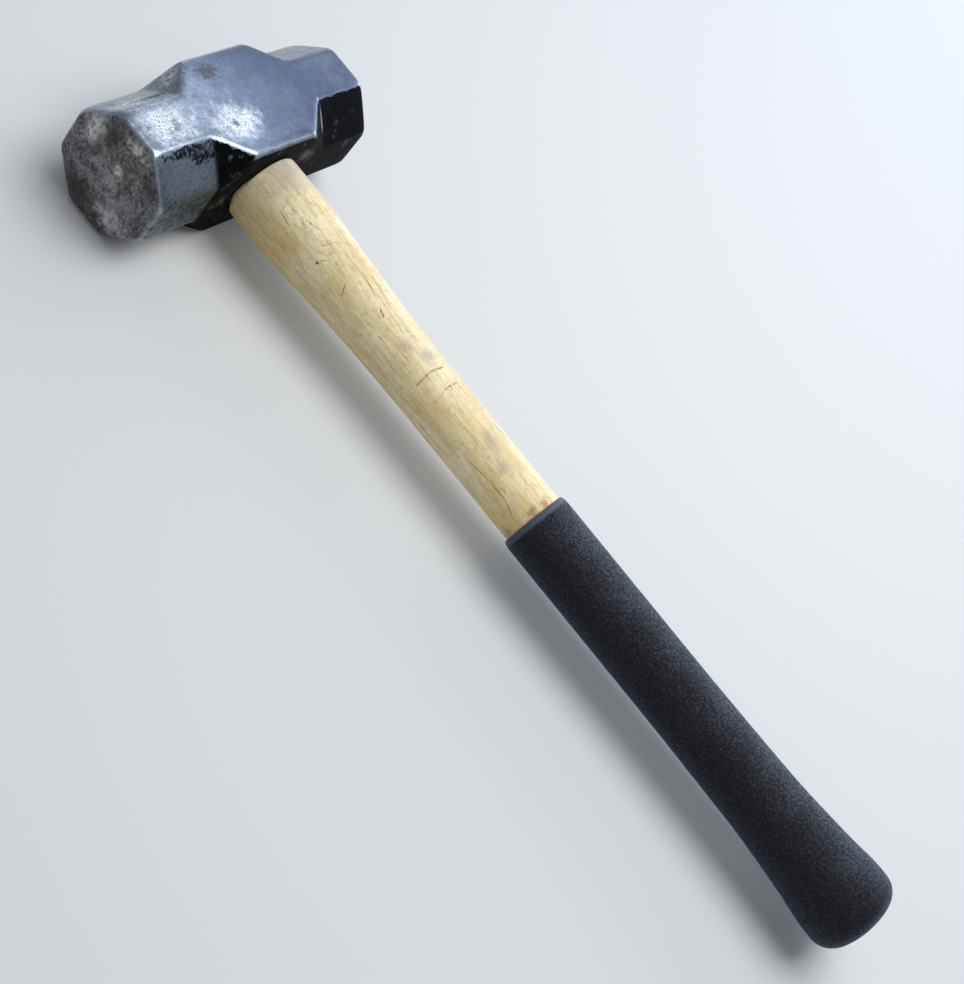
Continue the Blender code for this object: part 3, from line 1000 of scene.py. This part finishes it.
wood_low, wood_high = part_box("wooden_wedge")
longer = Vector((wood_overreach, 0, 0))
wood_box = (wood_low - longer, wood_high + longer)
wooden_wedge = wedge_piece("eye_wedge", *wood_box, wood_tip, 2, wood_round, 6)
plug_rings = [(tenon_half, head_underside), (tenon_top_half, tenon_end + 0.001)]
plug = turned_piece("plug", plug_rings, plug_columns)
saw_cut = wedge_opening(*wood_box, wood_tip, 2)
cut_with(wooden_wedge, plug, "INTERSECT")
cut_with(haft, saw_cut, "DIFFERENCE")
for cutter in (plug, saw_cut):
    bpy.data.objects.remove(cutter)

wedge_wood, t, shader = new_finish("sawn wedge wood")
place = centred(t, head_middle)
fibre = drawn_noise(t, place, (250, 250, 1800), Detail=3.0)
ends_grain = add(t, "TexNoise", place, Scale=2600.0, Detail=2.0)
wood_dark = (0.20, 0.115, 0.05)
wood_light = (0.46, 0.31, 0.16)
wood_pore = (0.10, 0.06, 0.03)

wood = tint(t, fibre, wood_dark, wood_light)
wood = tint(t, step(t, ends_grain, 0.5, 0.7, 0.0, 0.7), wood, wood_pore)
bump = add(t, "Bump", Strength=0.5, Distance=0.0002, Height=ends_grain)
surface(t, shader, Base_Color=wood, Roughness=shift(t, fibre, 0.7, 0.85), Normal=bump)
wooden_wedge.data.materials.append(wedge_wood)
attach(wooden_wedge, "root")
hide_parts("wooden_wedge")


# ---------------------------------------------------------------------------------------------
# Steel wedges. Two short strips of mild steel, cut to a taper and driven across the wooden wedge,
# so that they spread the tenon the other way too. They have rusted a little since.

steel_tip = 0.0008
steel_round = 0.0002

wedge_steel, t, shader = new_finish("dull mild steel")
place = centred(t, head_middle)
rusting = add(t, "TexNoise", place, Scale=420.0, Detail=5.0)
grit = add(t, "TexNoise", place, Scale=2200.0, Detail=2.0)
mild_dark = (0.22, 0.22, 0.225)
mild_light = (0.36, 0.36, 0.37)
mild_rust = (0.13, 0.055, 0.022)

colour = tint(t, grit, mild_dark, mild_light)
colour = tint(t, step(t, rusting, 0.5, 0.62), colour, mild_rust)
metal = step(t, rusting, 0.5, 0.62, 1.0, 0.1)
rough = step(t, rusting, 0.5, 0.62, 0.38, 0.8)
bump = add(t, "Bump", Strength=0.5, Distance=0.0001, Height=rusting)
surface(t, shader, Base_Color=colour, Roughness=rough, Metallic=metal, Normal=bump)
for side in ("left", "right"):
    low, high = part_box(f"steel_wedge_{side}")
    steel_wedge = wedge_piece(f"cross_wedge_{side}", low, high, steel_tip, 0, steel_round, 4)
    opening = wedge_opening(low, high, steel_tip, 0)
    for wood in (haft, wooden_wedge):
        cut_with(wood, opening, "DIFFERENCE")
    bpy.data.objects.remove(opening)
    steel_wedge.data.materials.append(wedge_steel)
    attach(steel_wedge, "root")
    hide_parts(f"steel_wedge_{side}")


# ---------------------------------------------------------------------------------------------
# Grip. A sleeve of black rubber is moulded over the lower half of the haft, closed at the butt,
# where it swells into a knob. Its mouth ends in a thin rounded lip, and its skin is pebbled.

grip_wall = 0.0018
knob_wall = 0.0069
knob_corner = 0.0100
knob_dome = 0.0020
lip_round = 0.0035
lip_edge = 0.0005
# Distance above the butt, and share of the way from the plain wall to the knob's
knob_swell = ((0.016, 1.0), (0.036, 0.62), (0.066, 0.21), (0.096, 0.08), (0.136, 0.0))
grip_columns = 40
bore_gap = 0.00015  # between the haft and the sleeve stretched over it


def grip_half(y):
    wall = grip_wall + (knob_wall - grip_wall) * smooth_through(knob_swell, y - grip_low.y)
    return haft_half(y) + evenly_in * (gap + wall)


corner_top = grip_low.y + knob_dome + knob_corner
knob_half = grip_half(corner_top)
knob_lean = 17  # degrees that the domed end leans by where it meets the corner
dome_half = knob_half - evenly_in * knob_corner * (1 - math.sin(math.radians(knob_lean)))
dome_rise = knob_dome + knob_corner * (1 - math.cos(math.radians(knob_lean)))
grip_rings = [
    (dome_half * share, grip_low.y + dome_rise * share**2)
    for share in (0.08, 0.28, 0.48, 0.68, 0.86)
]
for turn in (knob_lean, 32, 47, 62, 76, 90):
    inward = knob_corner * (1 - math.sin(math.radians(turn)))
    y = corner_top - knob_corner * math.cos(math.radians(turn))
    grip_rings.append((knob_half - evenly_in * inward, y))
lip_start = grip_high.y - lip_round
grip_rings += [(grip_half(y), y) for y in evenly(corner_top, lip_start, 0.0045)[1:]]
for turn in (25, 50, 72, 90):
    inward = (grip_wall - lip_edge) * (1 - math.cos(math.radians(turn)))
    y = lip_start + lip_round * math.sin(math.radians(turn))
    grip_rings.append((grip_half(lip_start) - evenly_in * inward, y))
bore_end = haft_low.y - 0.0004
bore_places = [grip_high.y, *evenly(grip_high.y - 0.001, bore_end, hidden_step)]
grip_rings += [(haft_half(y) + evenly_in * bore_gap, y) for y in bore_places]
grip_rings += [(haft_half(haft_low.y) * 0.3, haft_low.y - 0.0005)]

grip = turned_piece("rubber_grip", grip_rings, grip_columns, levels=2)
co, no = read_points(grip.data)
depth = dented(co, 0.00010, 0.010, 2.0) + dented(co, 0.00005, 0.003, 9.0)
write_points(grip.data, co - no * depth[:, None])
grip.data.shade_smooth()

rubber_black = (0.0025, 0.0025, 0.003)
rubber_handled = (0.0065, 0.007, 0.0095)
rubber_scuffed = (0.018, 0.0195, 0.024)
pebble_grey = (0.015, 0.0165, 0.022)
sheen_dark_grey = (0.012, 0.014, 0.020)
sheen_light_grey = (0.056, 0.067, 0.092)
lip_highlight_grey = (0.075, 0.092, 0.125)
rubber_sheen = (0.45, 0.62, 1.0)

rubber, t, shader = new_finish(
    "pebbled rubber", Specular_IOR_Level=0.20, Sheen_Weight=0.30, Sheen_Roughness=0.35
)
surface(t, shader, Sheen_Tint=rubber_sheen)
place = centred(t, (head_middle.x, grip_low.y, head_middle.z))
pebble = add(t, "TexVoronoi", place, Scale=1150.0)
pebble_soft = add(t, "TexNoise", place, Scale=850.0, Detail=3.0, Roughness=0.65)
handled = add(t, "TexNoise", place, Scale=55.0, Detail=4.0)
scuffed = add(t, "TexNoise", place, Scale=260.0, Detail=5.0, Roughness=0.7)
hump = step(t, pebble, 0.10, 0.65, 1.0, 0.0)
colour = tint(t, handled, rubber_black, rubber_handled)
colour = tint(t, times(t, step(t, scuffed, 0.5, 0.72), 0.5), colour, rubber_scuffed)
colour = tint(t, step(t, pebble_soft, 0.48, 0.60, 0.0, 0.7), colour, pebble_grey)
# The side towards the lights is painted a bluish grey: a painted sheen
across_grip = add(t, "SeparateXYZ", place)
painted_sheen_side = add(t, "Math", across_grip, step(t, handled, 0.3, 0.7, -0.005, 0.005), operation="ADD")
painted_sheen_side = step(t, painted_sheen_side, -0.013, 0.015)
painted_sheen = tint(t, step(t, pebble_soft, 0.40, 0.58), sheen_dark_grey, sheen_light_grey)
colour = tint(t, painted_sheen_side, colour, painted_sheen)
rough = shift(t, handled, 0.40, 0.52)
rough = shift(t, step(t, pebble_soft, 0.40, 0.60, 0.0, 1.0), 0.72, rough)
mouth_height = grip_high.y - grip_low.y
up_grip = add(t, "SeparateXYZ", place, out=1)
lip_band = step(t, up_grip, mouth_height - 0.0040, mouth_height - 0.0022)
# A painted highlight: a thin bluish-grey ring at the lip
colour = tint(t, times(t, lip_band, 0.85), colour, lip_highlight_grey)
height = add(t, "Math", times(t, hump, 0.6), times(t, pebble_soft, 0.9), operation="ADD")
skin = shift(t, lip_band, 0.00042, 0.00012)
bump = add(t, "Bump", Strength=1.0, Distance=skin, Height=height)
surface(t, shader, Base_Color=colour, Roughness=rough, Normal=bump)
grip.data.materials.append(rubber)
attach(grip, "root")
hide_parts("grip_sleeve")


# ---------------------------------------------------------------------------------------------
# Studio. A pale floor, soft panels overhead, behind the handle's far side and beyond the head, a
# weak one on the near side, and a camera that looks down from beside the left striking face.

floor_size = 12.0
floor_colour = (0.58, 0.58, 0.575)
sky_colour = (0.86, 0.92, 1.0, 1.0)
sky_strength = 0.30

floor_bm = bmesh.new()
bmesh.ops.create_grid(floor_bm, x_segments=1, y_segments=1, size=floor_size)
floor = finished("floor", floor_bm)
pale, t, shader = new_finish("pale floor", Roughness=0.7)
surface(t, shader, Base_Color=floor_colour)
floor.data.materials.append(pale)


def soft_panel(name, place, aim, wide, tall, power, colour):
    light = bpy.data.lights.new(name, "AREA")
    light.shape = "RECTANGLE"
    light.size = wide
    light.size_y = tall
    light.energy = power
    light.color = colour
    lamp = bpy.data.objects.new(name, light)
    bpy.context.scene.collection.objects.link(lamp)
    lamp.location = place
    lamp.rotation_euler = (Vector(aim) - Vector(place)).to_track_quat("-Z", "Y").to_euler()
    lamp.visible_camera = False


# Name, place, what it aims at, width, height, watts and colour
for panel in (
    ("key", (0.28, -0.10, 1.2), (0.0, 0.05, 0.03), 1.0, 1.0, 16.0, (0.95, 0.975, 1.0)),
    ("gleam", (1.05, 0.64, 1.0), (0.0, 0.18, 0.05), 0.24, 0.24, 0.6, (0.88, 0.94, 1.0)),
    ("back", (1.30, 0.95, 0.52), (0.0, 0.1, 0.05), 1.5, 1.0, 5.0, (0.80, 0.89, 1.0)),
    ("side", (1.45, -0.10, 0.50), (0.0, 0.0, 0.03), 1.2, 0.8, 8.5, (0.80, 0.89, 1.0)),
    ("fill", (-1.3, -0.8, 1.3), (0.0, 0.05, 0.03), 1.4, 1.4, 3.0, (1.0, 0.985, 0.96)),
):
    soft_panel(*panel)

world = bpy.data.worlds.new("studio")
world.use_nodes = True
sky = world.node_tree.nodes["Background"]
sky.inputs["Color"].default_value = sky_colour
sky.inputs["Strength"].default_value = sky_strength
bpy.context.scene.world = world
bpy.context.scene.view_settings.view_transform = "Standard"

lens_length = 61.33
camera_aim = Vector((-0.01526, 0.0125, 0.0285))
camera_distance = 0.74944
camera_azimuth = math.radians(-86.08)
camera_elevation = math.radians(41.25)
camera_roll = math.radians(48.27)
looking = Vector((
    -math.sin(camera_azimuth) * math.cos(camera_elevation),
    math.cos(camera_azimuth) * math.cos(camera_elevation),
    -math.sin(camera_elevation),
))
lens = bpy.data.cameras.new("camera")
lens.lens = lens_length
lens.clip_start = 0.01
camera = bpy.data.objects.new("camera", lens)
bpy.context.scene.collection.objects.link(camera)
level = looking.to_track_quat("-Z", "Y").to_matrix()
rolled = level @ Matrix.Rotation(camera_roll, 3, "Z")
camera.matrix_world = Matrix.Translation(camera_aim - looking * camera_distance) @ rolled.to_4x4()
bpy.context.scene.camera = camera
